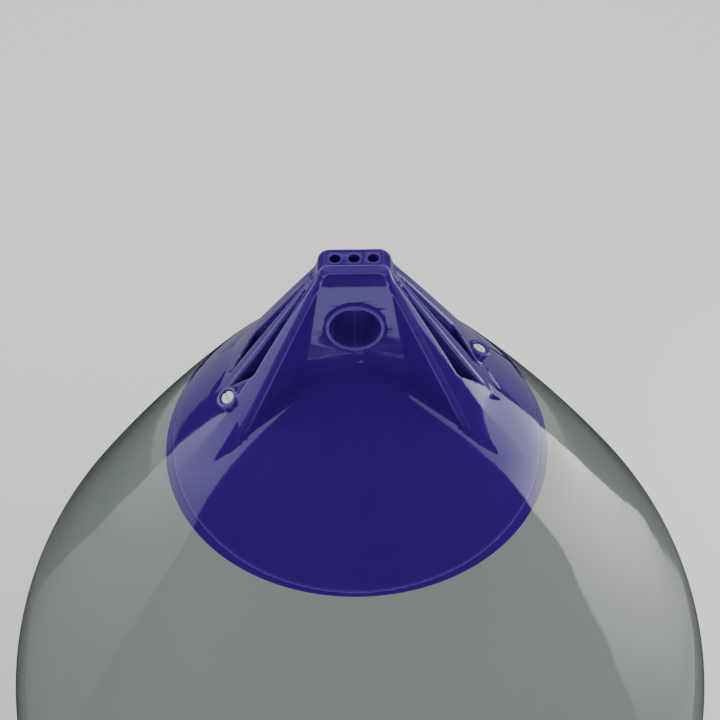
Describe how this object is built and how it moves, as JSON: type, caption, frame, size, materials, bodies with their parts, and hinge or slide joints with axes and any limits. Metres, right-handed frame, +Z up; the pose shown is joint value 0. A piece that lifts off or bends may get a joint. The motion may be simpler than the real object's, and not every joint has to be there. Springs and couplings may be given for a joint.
{
  "type": "inflatable mooring buoy",
  "caption": "Large inflatable vinyl mooring buoy: a glossy grey pear-shaped body under a ribbed violet rope-eye end with air valves.",
  "frame": {"origin": "centre of the rope hole, on the buoy's axis", "axes": "+Z up along the buoy's axis, eye up; +Y through the rope hole, towards the back; +X along the crown"},
  "size_m": [0.686, 0.686, 0.914],
  "materials": {
    "grey_vinyl": "glossy soft vinyl",
    "violet_vinyl": "glossy soft vinyl",
    "grey_nylon": "moulded nylon",
    "black_rubber": "matt sealing ring",
    "white_nylon": "moulded nylon"
  },
  "bodies": {
    "buoy": {"buoy_body": "grey_vinyl", "rope_eye_end": "violet_vinyl", "valve_insert_left": "grey_nylon", "valve_insert_right": "grey_nylon"},
    "left plug": {"valve_screw_left": "white_nylon", "valve_seal_left": "black_rubber"},
    "right plug": {"valve_screw_right": "white_nylon", "valve_seal_right": "black_rubber"}
  },
  "joints": [
    {"name": "valve_lift_left", "type": "slide", "parent": "buoy", "child": "left plug", "axis": [-0.4289, -0.191, 0.8829], "range_m": [0, 0.009]},
    {"name": "valve_lift_right", "type": "slide", "parent": "buoy", "child": "right plug", "axis": [0.4289, 0.191, 0.8829], "range_m": [0, 0.009]}
  ]
}
